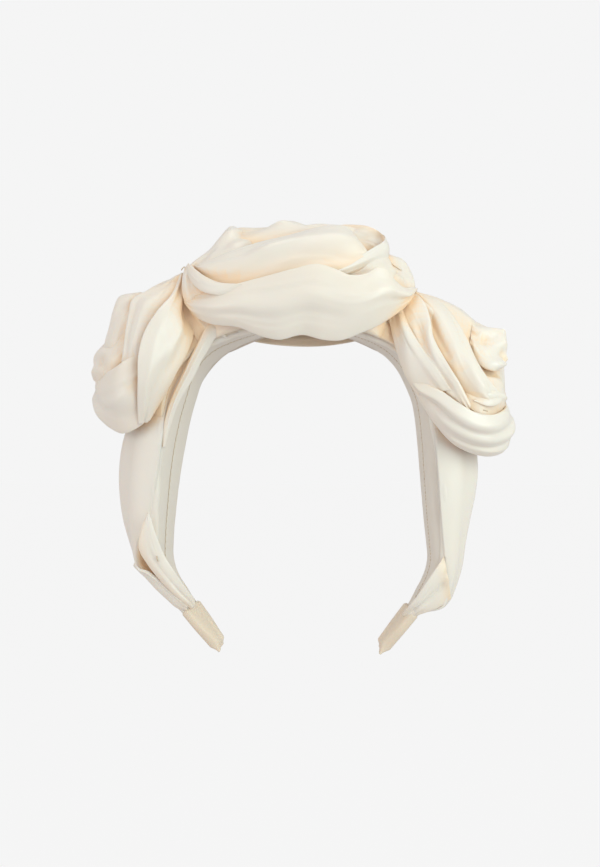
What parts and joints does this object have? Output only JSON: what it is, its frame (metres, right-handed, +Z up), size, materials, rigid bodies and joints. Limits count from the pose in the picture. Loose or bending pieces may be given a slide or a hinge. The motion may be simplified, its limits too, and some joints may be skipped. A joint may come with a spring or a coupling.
{
  "type": "knotted headband",
  "caption": "Sprung headband in a satin sleeve, with a wide satin sash gathered into soft knots over the top and draped down both legs.",
  "frame": {"origin": "where the inside of the sleeve meets the top of the head, in the middle of the band's width", "axes": "+Z up from the head through the centre knot, +X towards the knot with the curled end, the right one as seen from the front, +Y from the front to the back, across the band's width"},
  "size_m": [0.1894, 0.0707, 0.1973],
  "materials": {
    "core_plastic": "natural moulded plastic, hidden inside the sleeve",
    "sleeve_satin": "satin sewn as a tube, dull side visible on the inside of the band",
    "sash_satin": "heavy ivory satin with a soft sheen",
    "cap_cloth": "folded ribbon, slightly darker than the sash",
    "thread": "sewing thread"
  },
  "bodies": {
    "crown": {"core_crown": "core_plastic", "sleeve_crown": "sleeve_satin", "centre_knot_gather": "sash_satin", "left_knot_gather": "sash_satin", "right_knot_gather": "sash_satin", "centre_front_fold": "sash_satin", "centre_middle_fold": "sash_satin", "centre_loop_fold": "sash_satin", "centre_right_turn": "sash_satin", "centre_left_turn": "sash_satin", "centre_rear_fold": "sash_satin", "centre_back_fold": "sash_satin", "left_main_fold": "sash_satin", "left_second_fold": "sash_satin", "left_bottom_fold": "sash_satin", "left_outer_fold": "sash_satin", "left_top_fold": "sash_satin", "left_back_fold": "sash_satin", "right_inner_fold": "sash_satin", "right_bottom_fold": "sash_satin", "right_second_fold": "sash_satin", "right_third_fold": "sash_satin", "right_tip_fold": "sash_satin", "right_curl_fold": "sash_satin", "right_back_fold": "sash_satin", "tack_right_knot": "thread", "tack_left_gather": "thread"},
    "leg_left": {"core_leg_left": "core_plastic", "sleeve_leg_left": "sleeve_satin", "tip_cap_left": "cap_cloth", "leg_sash_left": "sash_satin", "tack_leg_left": "thread"},
    "leg_right": {"core_leg_right": "core_plastic", "sleeve_leg_right": "sleeve_satin", "tip_cap_right": "cap_cloth", "leg_sash_right": "sash_satin"}
  },
  "joints": [
    {"name": "leg_flex_left", "type": "hinge", "parent": "crown", "child": "leg_left", "pos_m": [-0.05975, 0.00035, -0.05172], "axis": [0.1716, 0.9848, -0.0263], "range_deg": [-4, 10], "stiffness_Nm_per_rad": 1.2},
    {"name": "leg_flex_right", "type": "hinge", "parent": "crown", "child": "leg_right", "pos_m": [0.05975, 0.00035, -0.05172], "axis": [0.1716, -0.9848, 0.0263], "range_deg": [-4, 10], "stiffness_Nm_per_rad": 1.2}
  ]
}
